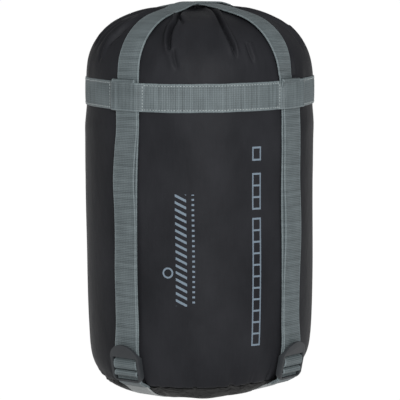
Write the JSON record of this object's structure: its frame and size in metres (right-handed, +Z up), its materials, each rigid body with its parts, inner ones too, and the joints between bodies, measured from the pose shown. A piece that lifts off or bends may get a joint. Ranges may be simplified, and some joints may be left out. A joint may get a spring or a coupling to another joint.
{
  "type": "compression sack",
  "caption": "Stuffed round nylon travel sack with a girth band and webbing straps that cross over the crown and cinch through ladder-lock buckles at the foot.",
  "frame": {"origin": "on the ground under the middle of the base, at the lowest face of the straps it stands on", "axes": "+Z up along the sack's own axis; -Y is the front, between two of the straps; the straps lie in the planes at 45 degrees to X and Y"},
  "size_m": [0.2044, 0.2044, 0.3462],
  "materials": {
    "nylon": "coated woven nylon, soft sheen",
    "binding": "matte woven tape",
    "webbing": "ribbed flat webbing, matte",
    "buckle": "satin moulded acetal",
    "cord": "braided cord, matte",
    "grommet": "satin",
    "cord_lock": "satin moulded acetal",
    "cord_lock_button": "satin moulded acetal",
    "spring": "drawn wire"
  },
  "bodies": {
    "base": {"base_panel": "nylon", "sack_wall_lower": "nylon", "base_binding": "binding", "base_strap_a": "webbing", "base_strap_b": "webbing"},
    "top": {"sack_wall_upper": "nylon", "crown": "nylon", "girth_band": "webbing", "compression_strap_a": "webbing", "compression_strap_b": "webbing", "mouth_hem": "nylon", "mouth_grommet": "grommet", "drawcord": "cord", "cord_knot": "cord", "cord_lock_barrel": "cord_lock", "cord_lock_spring": "spring", "load_strand_back_right": "webbing", "load_strand_back_left": "webbing", "load_strand_front_left": "webbing", "load_strand_front_right": "webbing"},
    "cord_lock_button": {"cord_lock_plunger": "cord_lock_button"},
    "lock_back_right": {"ladder_lock_back_right": "buckle", "strap_turn_back_right": "webbing", "anchor_loop_back_right": "webbing"},
    "tail_back_right": {"tail_strand_back_right": "webbing", "tail_hem_back_right": "webbing"},
    "lock_back_left": {"ladder_lock_back_left": "buckle", "strap_turn_back_left": "webbing", "anchor_loop_back_left": "webbing"},
    "tail_back_left": {"tail_strand_back_left": "webbing", "tail_hem_back_left": "webbing"},
    "lock_front_left": {"ladder_lock_front_left": "buckle", "strap_turn_front_left": "webbing", "anchor_loop_front_left": "webbing"},
    "tail_front_left": {"tail_strand_front_left": "webbing", "tail_hem_front_left": "webbing"},
    "lock_front_right": {"ladder_lock_front_right": "buckle", "strap_turn_front_right": "webbing", "anchor_loop_front_right": "webbing"},
    "tail_front_right": {"tail_strand_front_right": "webbing", "tail_hem_front_right": "webbing"}
  },
  "joints": [
    {"name": "compress", "type": "slide", "parent": "base", "child": "top", "axis": [0, 0, -1], "range_m": [0, 0.09], "deforming": ["load_strand_back_right", "load_strand_back_left", "load_strand_front_left", "load_strand_front_right"]},
    {"name": "press_cord_lock", "type": "slide", "parent": "top", "child": "cord_lock_button", "axis": [-1, 0, 0], "range_m": [0, 0.0032], "stiffness_N_per_m": 500, "springref_m": -0.002, "deforming": ["cord_lock_spring"]},
    {"name": "lift_lock_back_right", "type": "hinge", "parent": "base", "child": "lock_back_right", "pos_m": [0.0682, 0.0682, 0.01854], "axis": [-0.7071, 0.7071, 0], "range_deg": [0, 40]},
    {"name": "feed_tail_back_right", "type": "slide", "parent": "base", "child": "tail_back_right", "axis": [0, 0, 1], "range_m": [0, 0.09], "deforming": ["tail_strand_back_right"]},
    {"name": "lift_lock_back_left", "type": "hinge", "parent": "base", "child": "lock_back_left", "pos_m": [-0.0682, 0.0682, 0.01854], "axis": [-0.7071, -0.7071, 0], "range_deg": [0, 40]},
    {"name": "feed_tail_back_left", "type": "slide", "parent": "base", "child": "tail_back_left", "axis": [0, 0, 1], "range_m": [0, 0.09], "deforming": ["tail_strand_back_left"]},
    {"name": "lift_lock_front_left", "type": "hinge", "parent": "base", "child": "lock_front_left", "pos_m": [-0.0682, -0.0682, 0.01854], "axis": [0.7071, -0.7071, 0], "range_deg": [0, 40]},
    {"name": "feed_tail_front_left", "type": "slide", "parent": "base", "child": "tail_front_left", "axis": [0, 0, 1], "range_m": [0, 0.09], "deforming": ["tail_strand_front_left"]},
    {"name": "lift_lock_front_right", "type": "hinge", "parent": "base", "child": "lock_front_right", "pos_m": [0.0682, -0.0682, 0.01854], "axis": [0.7071, 0.7071, 0], "range_deg": [0, 40]},
    {"name": "feed_tail_front_right", "type": "slide", "parent": "base", "child": "tail_front_right", "axis": [0, 0, 1], "range_m": [0, 0.09], "deforming": ["tail_strand_front_right"]}
  ],
  "couplings": [
    {"joint": "feed_tail_back_right", "follows": "compress", "ratio": 1},
    {"joint": "feed_tail_back_left", "follows": "compress", "ratio": 1},
    {"joint": "feed_tail_front_left", "follows": "compress", "ratio": 1},
    {"joint": "feed_tail_front_right", "follows": "compress", "ratio": 1}
  ]
}
